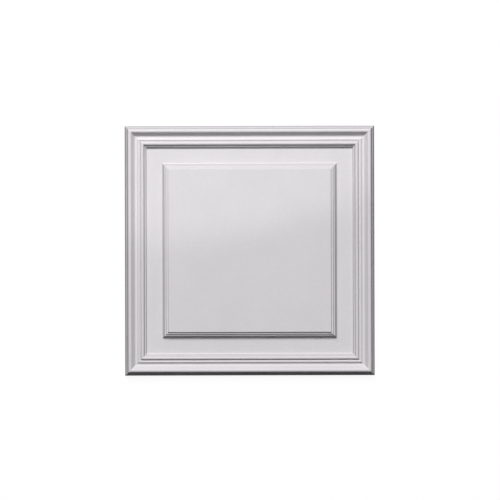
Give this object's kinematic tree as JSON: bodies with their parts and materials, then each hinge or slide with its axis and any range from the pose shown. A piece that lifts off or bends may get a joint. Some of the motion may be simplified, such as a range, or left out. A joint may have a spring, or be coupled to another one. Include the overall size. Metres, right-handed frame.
{
  "type": "decorative wall panel",
  "caption": "Square moulded wall panel with a stepped frame, a sunk field and a raised centre, glued by its flat back to a wall, door or ceiling.",
  "frame": {"origin": "centre of the flat back, on the surface that the panel lies on or is glued to", "axes": "+Z out of the decorated face, +Y up the wall as hung, +X to the right seen from the front"},
  "size_m": [0.435, 0.435, 0.018],
  "materials": {
    "primed_polyurethane": "factory primed, satin white"
  },
  "bodies": {
    "root": {"wall_panel": "primed_polyurethane"}
  },
  "joints": []
}
